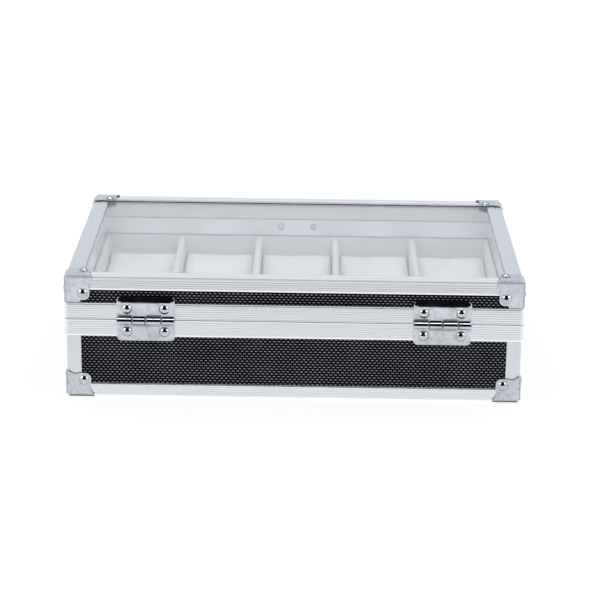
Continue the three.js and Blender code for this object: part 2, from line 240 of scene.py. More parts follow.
def chrome():
    """Plated steel: bright, slightly wavy from the press, with hairline scratches."""
    material, tree, shader = new_material("chrome")
    waves = grain(tree, 190, 2)
    scratches = grain(tree, 5200, 3, (1, 0.06, 0.4))
    haze = grain(tree, 70, 4)
    cloud = grain(tree, 260, 5)
    plated = mixed(tree, ranged(tree, haze, 0, 1), rgb(0.5, 0.53, 0.58), rgb(0.64, 0.68, 0.74))
    clouded = mixed(tree, ranged(tree, cloud, 0.45, 0, 0.35, 0.55), plated,
                    rgb(0.34, 0.36, 0.39))
    # painted shade: the plating turns nearly black in gaps and recesses, from ambient occlusion
    crevice_painted_shade = mixed(tree, crevices(tree, 4, 0.25, 0.85), rgb(0.02, 0.02, 0.022), clouded)
    fine = bumped(tree, scratches, 0.1, 0.01)
    wavy = add_node(tree, "Bump", {
        "Height": waves, "Strength": 0.5, "Distance": 0.12 * MM, "Normal": fine})
    feed(tree, shader, {
        "Base Color": crevice_painted_shade, "Roughness": ranged(tree, haze, 0.05, 0.12),
        "Normal": wavy.outputs["Normal"], "Metallic": 1})
    return material


def black_panel():
    """Moulded black ABS skin; its bumps are painted grey along their crests, a painted highlight.
    """
    material, tree, shader = new_material("black_abs")
    pores = grain(tree, 5000, 2)
    wear = grain(tree, 40, 5)
    deep = mixed(tree, ranged(tree, wear, 0, 1), rgb(0.001, 0.001, 0.002),
                 rgb(0.004, 0.004, 0.006))
    grey = mixed(tree, ranged(tree, wear, 0, 1), rgb(0.33, 0.34, 0.41), rgb(0.52, 0.53, 0.62))
    crest = add_node(tree, "Attribute", {}, attribute_name=CREST).outputs["Fac"]
    # painted highlight: the crests of the bumps turn grey, where the skin would catch the lamps
    crest_highlight = mixed(tree, ranged(tree, crest, 0, 1, 0.8, 1), deep, grey)
    feed(tree, shader, {
        "Base Color": crest_highlight, "Roughness": ranged(tree, wear, 0.2, 0.3),
        "Normal": bumped(tree, pores, 0.25, 0.03), "Specular IOR Level": 0.12})
    return material


def velvet(name, shade):
    """Short-pile white velvet: fine fibres, brushed patches and a soft sheen."""
    material, tree, shader = new_material(name)
    fibres = grain(tree, 2600, 4)
    nap = grain(tree, 28, 5, (1, 0.5, 1))
    lit = rgb(shade, shade * 0.99, shade * 0.995)
    brushed = rgb(shade * 0.88, shade * 0.87, shade * 0.885)
    pile = mixed(tree, ranged(tree, nap, 0, 1), brushed, lit)
    deep = rgb(shade * 0.7, shade * 0.69, shade * 0.7)
    flecked = mixed(tree, ranged(tree, fibres, 0, 0.3), pile, deep)
    feed(tree, shader, {
        "Base Color": flecked, "Roughness": ranged(tree, fibres, 0.85, 1),
        "Normal": bumped(tree, fibres, 0.6, 0.25), "Specular IOR Level": 0.1,
        "Sheen Weight": 0.25, "Sheen Roughness": 0.45})
    return material


def clear_pane():
    """Clear acrylic with faint wiping marks. Shadow and diffuse rays go straight through it,
    so that the inside is lit."""
    material, tree, shader = new_material("clear_pane")
    wiping = grain(tree, 30, 5, (1, 0.2, 1))
    feed(tree, shader, {
        "Base Color": rgb(0.975, 0.985, 0.99), "Roughness": ranged(tree, wiping, 0, 0.03),
        "Transmission Weight": 1, "IOR": 1.49})
    open_way = add_node(tree, "BsdfTransparent", {"Color": rgb(0.94, 0.95, 0.955)})
    path = add_node(tree, "LightPath", {}).outputs
    indirect = add_node(tree, "Math", {0: path["Is Shadow Ray"], 1: path["Is Diffuse Ray"]},
                        operation="MAXIMUM").outputs[0]
    mix = add_node(tree, "MixShader", {0: indirect, 1: shader.outputs[0],
                                       2: open_way.outputs[0]})
    feed(tree, tree.nodes["Material Output"], {"Surface": mix.outputs[0]})
    return material


ALONG_X = aluminium("aluminium_along_x", (0.01, 1, 1))
# painted shade: the side trims and the posts get darker copies of the same aluminium
ALONG_Y = aluminium("aluminium_along_y", (1, 0.01, 1), 0.9)
ALONG_Z = aluminium("aluminium_along_z", (1, 1, 0.01), 0.83)
ROUND_CASE = aluminium("aluminium_round_case", (0.01, 0.01, 1))
CHROME = chrome()
BLACK = black_panel()
BARE_HIGHLIGHT = bare_metal_highlight()
# painted shade: the walls, dividers and lining use a darker copy of the pads' white velvet
VELVET = velvet("white_velvet_painted_shade", 0.8)
PAD_VELVET = velvet("pad_velvet", 0.94)
PANE = clear_pane()
SMOOTH_RELIEFS = (BLACK, VELVET, PAD_VELVET)


# ------------ meshes

def smoothed(obj, sharp=35):
    """Shades the object smooth between the edges that are sharper than the angle."""
    obj.data.polygons.foreach_set("use_smooth", [True] * len(obj.data.polygons))
    obj.data.set_sharp_from_angle(angle=math.radians(sharp))
    return obj


def tidy(obj, sharp=35):
    """Merges doubled points, turns the faces outwards and shades smooth between sharp edges."""
    bm = bmesh.new()
    bm.from_mesh(obj.data)
    bmesh.ops.remove_doubles(bm, verts=bm.verts, dist=0.002 * MM)
    bmesh.ops.dissolve_degenerate(bm, edges=bm.edges, dist=0.001 * MM)
    bmesh.ops.recalc_face_normals(bm, faces=bm.faces)
    bm.to_mesh(obj.data)
    bm.free()
    return smoothed(obj, sharp)


def make(name, vertices, faces):
    """A mesh object from millimetres."""
    mesh = bpy.data.meshes.new(name)
    mesh.from_pydata([Vector(v) * MM for v in vertices], [], faces)
    obj = bpy.data.objects.new(name, mesh)
    scene.collection.objects.link(obj)
    return tidy(obj)


def soften(obj, width, segments=2, angle=50):
    """Rounds the edges that are sharper than the angle."""
    bm = bmesh.new()
    bm.from_mesh(obj.data)
    edges = [e for e in bm.edges
             if len(e.link_faces) == 2 and e.calc_face_angle() > math.radians(angle)]
    bmesh.ops.bevel(bm, geom=edges, offset=width * MM, segments=segments,
                    affect="EDGES", clamp_overlap=True)
    bm.to_mesh(obj.data)
    bm.free()
    return tidy(obj)


def apply_modifiers(obj):
    evaluated = obj.evaluated_get(bpy.context.evaluated_depsgraph_get())
    mesh = bpy.data.meshes.new_from_object(evaluated)
    obj.modifiers.clear()
    obj.data = mesh
    return obj


def merge(name, objects):
    """One object holding the meshes of several."""
    bm = bmesh.new()
    for obj in objects:
        bm.from_mesh(obj.data)
        bpy.data.objects.remove(obj)
    mesh = bpy.data.meshes.new(name)
    bm.to_mesh(mesh)
    bm.free()
    merged = bpy.data.objects.new(name, mesh)
    scene.collection.objects.link(merged)
    return smoothed(merged)


def flatten_shading(obj):
    """Lets the large faces keep their own direction, and bends only the light on the small
    faces of the rounded edges."""
    weighted = obj.modifiers.new("normals", "WEIGHTED_NORMAL")
    weighted.weight = 80
    weighted.keep_sharp = True
    return apply_modifiers(obj)


def piece(obj, material, node, stands_for_it=True):
    """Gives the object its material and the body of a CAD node."""
    if material not in SMOOTH_RELIEFS:
        flatten_shading(obj)
    obj.data.materials.clear()
    obj.data.materials.append(material)
    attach(obj, BODY[node])
    if stands_for_it:
        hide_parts(node)
    return obj


def rounded(points, steps=3):
    """A closed outline from (x, y, radius) corners, with an arc at each."""
    outline = []
    for i, (x, y, radius) in enumerate(points):
        here = Vector((x, y))
        if radius == 0:
            outline.append(here)
            continue
        before = Vector(points[i - 1][:2]) - here
        after = Vector(points[(i + 1) % len(points)][:2]) - here
        half = before.angle(after) / 2
        reach = min(radius / math.tan(half), 0.49 * before.length, 0.49 * after.length)
        middle = (before.normalized() + after.normalized()).normalized()
        centre = here + middle * reach / math.cos(half)
        first = here + before.normalized() * reach - centre
        last = here + after.normalized() * reach - centre
        start = math.atan2(first.y, first.x)
        turn = (math.atan2(last.y, last.x) - start + math.pi) % (2 * math.pi) - math.pi
        for k in range(steps + 1):
            angle = start + turn * k / steps
            outline.append(centre + first.length * Vector((math.cos(angle), math.sin(angle))))
    return outline


def rectangle(left, bottom, right, top, radius, steps):
    """A rectangle's outline with rounded corners."""
    return rounded([(left, bottom, radius), (right, bottom, radius), (right, top, radius),
                    (left, top, radius)], steps)


def loop_faces(loops, n):
    """Four-sided faces from each loop of n points to the next."""
    faces = []
    for k in range(loops - 1):
        for i in range(n):
            j = (i + 1) % n
            faces.append((k * n + i, k * n + j, (k + 1) * n + j, (k + 1) * n + i))
    return faces


def end_faces(loops, n):
    return [tuple(range(n)), tuple(range((loops - 1) * n, loops * n))]


def prism(name, outline, low, high, place, cuts=0):
    """An outline filled from low to high; place turns (a, b, level) into x, y, z."""
    n = len(outline)
    levels = [low + (high - low) * k / (cuts + 1) for k in range(cuts + 2)]
    vertices = [place(p[0], p[1], level) for level in levels for p in outline]
    return make(name, vertices, loop_faces(cuts + 2, n) + end_faces(cuts + 2, n))


def lathe(profile, origin, direction, turns=32):
    """Vertices and faces of (radius, height) points turned about a line; it starts and
    ends on the line."""
    towards = Vector(direction).to_track_quat("Z", "Y")
    vertices = []
    for radius, height in profile:
        for k in range(turns):
            angle = 2 * math.pi * k / turns
            point = Vector((radius * math.cos(angle), radius * math.sin(angle), height))
            vertices.append(Vector(origin) + towards @ point)
    return vertices, loop_faces(len(profile), turns)


def turned(name, shapes):
    """One object from several lathe shapes."""
    vertices = []
    faces = []
    for points, quads in shapes:
        start = len(vertices)
        vertices += points
        faces += [tuple(start + i for i in quad) for quad in quads]
    return make(name, vertices, faces)


def dome_profile(radius, height, sink=0.3, steps=8):
    """A rivet head: a short upright foot and a dome over it."""
    foot = 0.12 * height
    rise = height - foot
    ball = (radius ** 2 + rise ** 2) / (2 * rise)
    reach = math.asin(radius / ball)
    profile = [(0, -sink), (radius, -sink), (radius, foot * 0.4)]
    for k in range(steps + 1):
        angle = reach * (1 - k / steps)
        profile.append((ball * math.sin(angle) * 0.985, height - ball + ball * math.cos(angle)))
    return profile


def rivets(name, spots, radius=RIVET_RADIUS, height=RIVET_HEIGHT):
    """Domed heads at (point, outward direction) spots."""
    profile = dome_profile(radius, height)
    return turned(name, [lathe(profile, point, out) for point, out in spots])


def bar_profile(radius, length, edge, step):
    """A round bar with rounded ends, which pass through a point one step in and down."""
    return [(0, 0), (radius - edge, 0), (radius - step, step), (radius, edge),
            (radius, length - edge), (radius - step, length - step),
            (radius - edge, length), (0, length)]


def add_pin(node):
    """A pin along X with rounded ends."""
    low, high = span(node)
    middle = centre(node)
    radius = (high.z - low.z) / 2
    edge = 0.35 * radius
    profile = bar_profile(radius, high.x - low.x, edge, edge * 0.3)
    shape = lathe(profile, (low.x, middle.y, middle.z), (1, 0, 0))
    piece(turned(node + "_visual", [shape]), CHROME, node)


# ------------ sections round the case

def ribbed(inset, low, high):
    """Section points up a face from low to high, with fine drawn grooves."""
    count = int((high - low - RIB_PITCH) / RIB_PITCH)
    start = (low + high - count * RIB_PITCH) / 2
    points = []
    for k in range(count + 1):
        z = start + k * RIB_PITCH
        points += [(inset, z - RIB_WIDTH / 2, 0), (inset + RIB_DEPTH, z, 0),
                   (inset, z + RIB_WIDTH / 2, 0)]
    return points


def swept_ring(name, corners, radius=RIM_RADIUS, steps=6):
    """A section of (inset, z, radius) corners carried round the case. Its own corners
    round the case have the given radius on the outside."""
    section = rounded(corners)
    n = len(section)
    vertices = []
    for quarter, (sx, sy) in enumerate(((1, 1), (-1, 1), (-1, -1), (1, -1))):
        for k in range(steps + 1):
            angle = math.pi / 2 * (quarter + k / steps)
            for inset, z in section:
                back = max(radius, inset)
                arc = max(radius - inset, 0)
                vertices.append((sx * (HALF_X - back) + arc * math.cos(angle),
                                 sy * (HALF_Y - back) + arc * math.sin(angle), z))
    stations = 4 * (steps + 1)
    faces = []
    for here in range(stations):
        there = (here + 1) % stations
        for i in range(n):
            j = (i + 1) % n
            faces.append((here * n + i, there * n + i, there * n + j, here * n + j))
    return make(name, vertices, faces)


def on_side(side):
    """Turns (along, inset, z) on one side of the case into x, y, z."""
    quarter = SIDES.index(side)
    across = HALF_X if quarter % 2 else HALF_Y

    def place(along, inset, z):
        x, y = along, inset - across
        for _ in range(quarter):
            x, y = -y, x
        return x, y, z
    return place


def mitred_bar(name, corners, side, gap=0.15):
    """A section carried along one side, with mitred ends."""
    section = rounded(corners)
    place = on_side(side)
    half = HALF_Y if SIDES.index(side) % 2 else HALF_X
    n = len(section)
    vertices = [place(end * (half - inset - gap), inset, z)
                for end in (-1, 1) for inset, z in section]
    faces = [(i, n + i, n + (i + 1) % n, (i + 1) % n) for i in range(n)]
    faces += [tuple(range(n)), tuple(range(n, 2 * n))]
    return make(name, vertices, faces)


def cut_up(inset, z):
    """Section points of a machined lower edge, going up."""
    return [(inset + CUT_INSET, z, 0), (inset, z + CUT_HEIGHT, 0)]


def cut_down(inset, z):
    """Section points of a machined upper edge, going up."""
    return [(inset, z - CUT_HEIGHT, 0), (inset + CUT_INSET, z, 0)]


def highlight_cut_edges(obj, *levels):
    """Gives the bare metal to the machined outer edges that end at the levels; its brightness is
    also a painted highlight there.
    """
    obj.data.materials.append(BARE_HIGHLIGHT)
    for face in obj.data.polygons:
        middle = face.center / MM
        outside = max(abs(middle.x) - HALF_X, abs(middle.y) - HALF_Y) > -TRIM_INSET - SHEET / 2
        if outside and any(0.1 < abs(middle.z - z) < 0.9 * CUT_HEIGHT for z in levels):
            face.material_index = 1
    return obj


def top_lands(z):
    """Section points of an upward face with two flat lands and a shallow channel between
    them, going inwards."""
    first, second, wide, deep = LANDS
    return [(first, z, 0), (first + wide, z, 0), (first + wide + 0.4, z - deep, 0),
            (second - 0.4, z - deep, 0), (second, z, 0), (second + wide, z, 0)]


def highlight_lands(obj, level):
    """Paints a highlight on the two lands on top of a long trim, in the bare bright metal."""
    first, second, wide, _ = LANDS
    for face in obj.data.polygons:
        middle = face.center / MM
        inset = HALF_Y - abs(middle.y)
        on_land = any(start < inset < start + wide for start in (first, second))
        if on_land and abs(middle.z - level) < 0.05:
            face.material_index = 1


def add_trims():
    """L-shaped trims round the top and the bottom, ribbed on their upright faces."""
    top_low, top_high = span("top_trim_front")
    low, high = span("bottom_trim_front")
    inner = TRIM_INSET + SHEET
    top = [
        *cut_up(TRIM_INSET, top_low.z), *ribbed(TRIM_INSET, top_low.z + 1, top_high.z - 1.4),
        (TRIM_INSET, top_high.z, 0.7), *top_lands(top_high.z),
        (TRIM_SHELF, top_high.z, 0.45), (TRIM_SHELF, top_high.z - SHEET, 0.3),
        (inner, top_high.z - SHEET, 0), (inner, top_low.z, 0.35),
    ]
    bottom = [
        (TRIM_INSET, low.z, 1.1), *ribbed(TRIM_INSET, low.z + 1.2, high.z - 1),
        *cut_down(TRIM_INSET, high.z), (inner, high.z, 0.35), (inner, low.z + SHEET, 0),
        (TRIM_SHELF, low.z + SHEET, 0.3), (TRIM_SHELF, low.z, 0.45),
    ]
    for side in SIDES:
        material = ALONG_Y if SIDES.index(side) % 2 else ALONG_X
        for prefix, section, edge in (("top_trim", top, top_low.z),
                                      ("bottom_trim", bottom, high.z)):
            node = f"{prefix}_{side}"
            bar = mitred_bar(node + "_visual", section, side)
            highlight_cut_edges(piece(bar, material, node), edge)
            # painted highlight: only the long trims get the bright metal on their lands
            if material is ALONG_X and prefix == "top_trim":
                highlight_lands(bar, top_high.z)


def add_rims():
    """The two closing frames: a tongue on the base's runs in a groove of the lid's."""
    low, high = span("base_rim")
    outer, slot = 2.2, 7.8
    tongue = (4.5, 6.3)
    base = [
        *cut_up(0, low.z), *ribbed(0, low.z + 1, SEAM - 0.3), (0, SEAM, 0.12),
        (tongue[0], SEAM, 0), (tongue[0], high.z, 0.4), (tongue[1], high.z, 0.4),
        (tongue[1], SEAM, 0), (RIM_INNER, SEAM, 0.4), (RIM_INNER, low.z, 0.3),
        (slot, low.z, 0.3), (slot, SEAM - 2.7, 0), (outer, SEAM - 2.7, 0),
        (outer, low.z, 0.5),
    ]
    ring = swept_ring("base_rim_visual", base)
    highlight_cut_edges(piece(ring, ROUND_CASE, "base_rim"), low.z)

    low, high = span("lid_rim")
    outer_top = span("lid_post_front_left")[0].z - 0.3
    web = low.z + 4.4
    lid = [
        (0, low.z, 0.12), *ribbed(0, low.z + 0.3, outer_top - 1), *cut_down(0, outer_top),
        (outer, outer_top, 0.5), (outer, web, 0), (slot, web, 0), (slot, high.z, 0.3),
        (RIM_INNER, high.z, 0.4), (RIM_INNER, low.z, 0.4), (tongue[1] + 0.6, low.z, 0.2),
        (tongue[1] + 0.6, low.z + 2.7, 0), (tongue[0] - 0.6, low.z + 2.7, 0),
        (tongue[0] - 0.6, low.z, 0.2),
    ]
    ring = swept_ring("lid_rim_visual", lid)
    highlight_cut_edges(piece(ring, ROUND_CASE, "lid_rim"), outer_top)


def add_posts():
    """Upright corner angles between the trims and the rims."""
    inner = TRIM_INSET + SHEET
    section = rounded([
        (POST_END, TRIM_INSET, 0.5), (TRIM_INSET, TRIM_INSET, 1.7), (TRIM_INSET, POST_END, 0.5),
        (inner, POST_END, 0.35), (inner, inner, 0), (POST_END, inner, 0.35),
    ], 5)
    for corner, (sx, sy) in CORNERS.items():
        for prefix in ("base_post", "lid_post"):
            node = f"{prefix}_{corner}"
            low, high = span(node)
            post = prism(node + "_visual", section, low.z, high.z,
                         lambda a, b, z: (sx * (HALF_X - a), sy * (HALF_Y - b), z))
            piece(post, ALONG_Z, node)


# ------------ panels and pane

def bump_cell(centre_s, centre_z):
    """Points and faces of one long six-sided bump: its foot, a shoulder and a ridge."""
    half = RELIEF_PITCH / 2
    tip = RELIEF_ROW * 0.64
    flank = RELIEF_ROW - tip
    foot = [(0, tip), (half, flank), (half, -flank), (0, -tip), (-half, -flank), (-half, flank)]
    points = [(centre_s + s, centre_z + z, 0) for s, z in foot]
    points += [(centre_s + 0.7 * s, centre_z + 0.5 * z, 0.7 * RELIEF_HEIGHT) for s, z in foot]
    points += [(centre_s - 0.5 * half, centre_z, RELIEF_HEIGHT),
               (centre_s + 0.5 * half, centre_z, RELIEF_HEIGHT)]
    faces = [(i, (i + 1) % 6, 6 + (i + 1) % 6, 6 + i) for i in range(6)]
    left, right = 12, 13
    faces += [(6, 7, right), (7, 8, right), (8, 9, right), (6, right, left),
              (9, left, right), (9, 10, left), (10, 11, left), (11, 6, left)]
    return points, faces


def relief_board(name, half, low, high, front, back, place):
    """A board whose face carries rows of bumps, each row half a bump along from the last."""
    vertices = []
    faces = []
    rows = int((high - low) / RELIEF_ROW)
    per_row = int(2 * half / RELIEF_PITCH) - 1
    for row in range(rows):
        z = (low + high) / 2 + (row - (rows - 1) / 2) * RELIEF_ROW
        for k in range(per_row):
            s = (k - (per_row - 1) / 2 + (row % 2) / 2 - 0.25) * RELIEF_PITCH
            points, cell = bump_cell(s, z)
            start = len(vertices)
            vertices += [place(a, front - d, b) for a, b, d in points]
            faces += [tuple(start + i for i in face) for face in cell]
    inward = Vector(place(0, back, 0)) - Vector(place(0, front, 0))
    board = close_board(make(name, vertices, faces), inward)
    outward = -inward.normalized()
    foot = Vector(place(0, front, 0)).dot(outward)
    # the crest mask, 1 at the top of each bump, places the black skin's painted highlight
    crest = board.data.attributes.new(CREST, "FLOAT", "POINT")
    heights = [(v.co / MM).dot(outward) - foot for v in board.data.vertices]
    crest.data.foreach_set("value", [max(h / RELIEF_HEIGHT, 0) for h in heights])
    return board


def close_board(obj, inward):
    """Carries the open border of a relief inwards and closes it with a flat back."""
    bm = bmesh.new()
    bm.from_mesh(obj.data)
    border = [e for e in bm.edges if e.is_boundary]
    grown = bmesh.ops.extrude_edge_only(bm, edges=border)["geom"]
    moved = [g for g in grown if isinstance(g, bmesh.types.BMVert)]
    bmesh.ops.translate(bm, verts=moved, vec=inward * MM)
    bmesh.ops.edgeloop_fill(bm, edges=[e for e in bm.edges if e.is_boundary])
    bm.to_mesh(obj.data)
    bm.free()
    return tidy(obj)


def add_walls():
    """Black panels; their cut edges are hidden in the trims, the posts and the rims. The
    bottom board has the same skin."""
    for side in SIDES:
        place = on_side(side)
        half = (HALF_Y if SIDES.index(side) % 2 else HALF_X) - BOARD_END
        for prefix in ("base_wall", "lid_wall"):
            node = f"{prefix}_{side}"
            low, high = span(node)
            board = relief_board(node + "_visual", half, low.z, high.z, BOARD_FRONT,
                                 BOARD_BACK, place)
            piece(board, BLACK, node)
    low, high = span("bottom_board")
    depth = HALF_Y - BOARD_END
    floor = relief_board("bottom_board_visual", HALF_X - BOARD_END, -depth, depth,
                         low.z + 0.6, high.z, lambda a, d, b: (a, b, d))
    piece(floor, BLACK, "bottom_board")


def add_pane():
    """The lid's clear sheet, with softened edges."""
    low, high = span("lid_glass")
    outline = rectangle(low.x, low.y, high.x, high.y, 1.5, 4)
    pane = prism("lid_pane_visual", outline, low.z, high.z, lambda a, b, z: (a, b, z))
    piece(soften(pane, 0.35), PANE, "lid_glass")


# ------------ folded sheet metal

def folded_sheet(name, corners, faces, inside, thickness, fold, edge):
    """A plate bent along the edges that its faces share; `inside` is a point within the
    bend, and the plate is `thickness` thick towards it."""
    obj = make(name, corners, faces)
    bm = bmesh.new()
    bm.from_mesh(obj.data)
    face = max(bm.faces, key=lambda f: f.calc_area())
    if face.normal.dot(face.calc_center_median() - Vector(inside) * MM) < 0:
        bmesh.ops.reverse_faces(bm, faces=bm.faces)
    shared = [e for e in bm.edges if len(e.link_faces) == 2]
    bmesh.ops.bevel(bm, geom=shared, offset=fold * MM, segments=5, affect="EDGES",
                    clamp_overlap=True)
    bm.to_mesh(obj.data)
    bm.free()
    solid = obj.modifiers.new("thickness", "SOLIDIFY")
    solid.thickness = thickness * MM
    solid.offset = -1
    solid.use_even_offset = True
    soft = obj.modifiers.new("edges", "BEVEL")
    soft.width = edge * MM
    soft.segments = 2
    soft.limit_method = "ANGLE"
    soft.angle_limit = math.radians(50)
    return tidy(apply_modifiers(obj))


def cap_outline():
    """One face of a cap, from the case's corner: strips along two edges, and a plate that
    ends in a lobe round the rivet."""
    return rounded([
        (0, 0, 0), (CAP_REACH, 0, 0), (CAP_REACH, 2.0, 0.6), (CAP_PLATE, 4.4, 0.8),
        (CAP_PLATE - 0.7, 6.6, 1.5), (CAP_PLATE, 9.2, 1.5), (CAP_PLATE, CAP_PLATE, CAP_LOBE),
        (9.2, CAP_PLATE, 1.5), (6.6, CAP_PLATE - 0.7, 1.5), (4.4, CAP_PLATE, 0.8),
        (2.0, CAP_REACH, 0.6), (0, CAP_REACH, 0),
    ], 6)


def add_caps():
    """Corner caps over three faces; the lid's have a rivet on each, the base's on two."""
    outline = cap_outline()
    n = len(outline)
    for corner, (sx, sy) in CORNERS.items():
        for prefix, level, up in (("lid_cap", CASE_TOP, -1), ("base_cap", 0, 1)):
            def place(u, v, w):
                return sx * (HALF_X - u), sy * (HALF_Y - v), level + up * w
            node = f"{prefix}_{corner}"
            vertices = [place(0, a, b) for a, b in outline]
            vertices += [place(b, 0, a) for a, b in outline]
            vertices += [place(a, b, 0) for a, b in outline]
            faces = [tuple(range(k * n, (k + 1) * n)) for k in range(3)]
            cap = folded_sheet(node + "_visual", vertices, faces, place(8, 8, 8),
                               CAP_THICKNESS, CAP_FOLD, 0.28)
            piece(cap, CHROME, node)
            inset = CAP_RIVET
            spots = [(place(inset, 0, inset), (0, sy, 0)), (place(0, inset, inset), (sx, 0, 0))]
            if up < 0:
                spots.append((place(inset, inset, 0), (0, 0, 1)))
            piece(rivets(node + "_rivets", spots), CHROME, node, False)


# ------------ hinges

def knuckle_spans():
    total = sum(KNUCKLES) + KNUCKLE_GAP * (len(KNUCKLES) - 1)
    spans = []
    start = -total / 2
    for wide in KNUCKLES:
        spans.append((start, start + wide))
        start += wide + KNUCKLE_GAP
    return spans


def leaf_outline(inset, far, own, others, edge, notch):
    """A leaf's outline (x, distance from the pin), drawn in from its free edges."""
    half = LEAF_HALF - 0.65 * inset
    far -= 1.25 * inset
    radius = max(3 - inset, 0.8)
    points = []
    near = sorted([(span, edge) for span in own] + [(span, notch) for span in others])
    for k, ((start, end), level) in enumerate(near):
        left = -half if k == 0 else start - KNUCKLE_GAP / 2
        right = half if k == len(near) - 1 else end + KNUCKLE_GAP / 2
        points += [(left, level, 0), (right, level, 0)]
    points += [(half, far, radius), (-half, far, radius)]
    return rounded(points, 6)


def hinge_leaf(name, axis, up, far, own, others, notch):
    """A stamped leaf with sloping borders, a raised middle and its rolled knuckles."""
    rear = axis.y + BARREL_RADIUS
    loops = ((0, 0), (0, 0.1), (0.15, 0.22), (LEAF_BEVEL, LEAF_THICKNESS))
    vertices = []
    for inset, height in loops:
        for x, reach in leaf_outline(inset, far, own, others, 0.6, notch):
            vertices.append((axis.x + x, rear - height, axis.z + up * reach))
    n = len(vertices) // len(loops)
    faces = loop_faces(len(loops), n) + end_faces(len(loops), n)
    leaf = make(name + "_plate", vertices, faces)

    front = rear - LEAF_THICKNESS
    crease = far - 1.25 * LEAF_BEVEL - 0.2
    middle = rectangle(-9.2, notch + 0.6, 9.2, crease, 0.5, 3)
    raised = soften(prism(name + "_middle", middle, front - 0.25, front + 0.4,
                          lambda a, b, y: (axis.x + a, y, axis.z + up * b)), 0.2)
    barrels = []
    for start, end in own:
        profile = bar_profile(BARREL_RADIUS, end - start, 0.3, 0.08)
        barrels.append(lathe(profile, (axis.x + start, axis.y, axis.z), (1, 0, 0), 40))
    return merge(name, [leaf, raised, turned(name + "_barrels", barrels)])


def add_hinges():
    spans = knuckle_spans()
    lower, upper = [spans[0], spans[2]], [spans[1], spans[3]]
    for side in ("left", "right"):
        axis = centre(f"hinge_pin_{side}")
        for kind, up, own, others, notch in (("upper", 1, upper, lower, 4.2),
                                             ("lower", -1, lower, upper, 3.2)):
            node = f"hinge_{kind}_{side}"
            reach = max(abs(end.z - axis.z) for end in span(node))
            leaf = hinge_leaf(node + "_visual", axis, up, reach, own, others, notch)
            piece(leaf, CHROME, node)
            front = axis.y + BARREL_RADIUS - LEAF_THICKNESS
            across, reach = LEAF_RIVET
            spots = [((axis.x + s * across, front, axis.z + up * reach), (0, -1, 0))
                     for s in (-1, 1)]
            piece(rivets(node + "_rivets", spots), CHROME, node, False)
        add_pin(f"hinge_pin_{side}")


# ------------ latch

def front_plate(name, outline, out_low, out_high, edge=0.3):
    """A plate standing on the front, drawn in x and z; out is measured from the rim."""
    flat = prism(name, outline, out_low, out_high, lambda x, z, out: (x, HALF_Y + out, z))
    return soften(flat, edge)


def side_plate(name, outline, x_low, x_high, edge=0.25):
    """A plate across the front, drawn as distance out from the rim and z."""
    flat = prism(name, outline, x_low, x_high, lambda out, z, x: (x, HALF_Y + out, z))
    return soften(flat, edge)


def latch_plate(node):
    """The flat, riveted part of a latch piece."""
    low, high = span(node)
    outline = rectangle(low.x, low.z, high.x, high.z, 2.2, 5)
    return front_plate(node + "_sheet", outline, *LATCH_PLATE)


def flanged_sheet(name, flange, cover, half, inside, fold):
    """Sheet metal folded into a cover between two flanges: the flange is drawn as distance
    out from the rim and z, the cover as x and z."""
    n = len(flange)
    vertices = [(-half, HALF_Y + out, z) for out, z in flange]
    vertices += [(half, HALF_Y + out, z) for out, z in flange]
    vertices += [(x, HALF_Y + LATCH_COVER, z) for x, z in cover]
    faces = [tuple(range(n)), tuple(range(n, 2 * n)), tuple(range(2 * n, 2 * n + len(cover)))]
    return folded_sheet(name, vertices, faces, inside, LATCH_METAL, fold, 0.25)


def add_catch():
    """The plate on the lid, with the lip that the claw pulls on."""
    plate = latch_plate("catch_plate")
    lip = side_plate("catch_plate_lip", rounded([
        (1.0, 59.2, 0), (4.3, 59.2, 1.1), (4.3, 62.2, 0.4), (3.3, 62.2, 0.4),
        (3.3, 60.3, 0.5), (1.0, 60.3, 0)], 4), -6.5, 6.5)
    piece(merge("catch_plate_visual", [plate, lip]), CHROME, "catch_plate")
    across, up = CATCH_RIVET
    heads = [((s * across, HALF_Y + LATCH_PLATE[1], up), (0, 1, 0)) for s in (-1, 1)]
    piece(rivets("catch_plate_rivets", heads), CHROME, "catch_plate", False)


def add_latch_base(lever):
    """The plate on the base, with two ears for the lever's pin."""
    low, high = span("latch_base")
    parts = [latch_plate("latch_base")]
    tip = lever.y + LATCH_EYE
    ear_low, ear_high = 7.7, 8.7
    for s in (-1, 1):
        ear = rounded([
            (1.0, lever.z - 2.6, 0), (tip, lever.z - 1.6, 1.5),
            (tip - 0.2, lever.z + 1.5, 1.4), (1.0, lever.z + 0.3, 0)], 6)
        edges = sorted((s * ear_low, s * ear_high))
        parts.append(side_plate(f"latch_ear_{s}", ear, *edges))
    piece(merge("latch_base_visual", parts), CHROME, "latch_base")
    across, edge = 14.6, 3.6
    heads = [((s * across, HALF_Y + LATCH_PLATE[1], z), (0, 1, 0))
             for s in (-1, 1) for z in (low.z + edge, high.z - edge)]
    piece(rivets("latch_base_rivets", heads, 2.1, 1.2), CHROME, "latch_base", False)


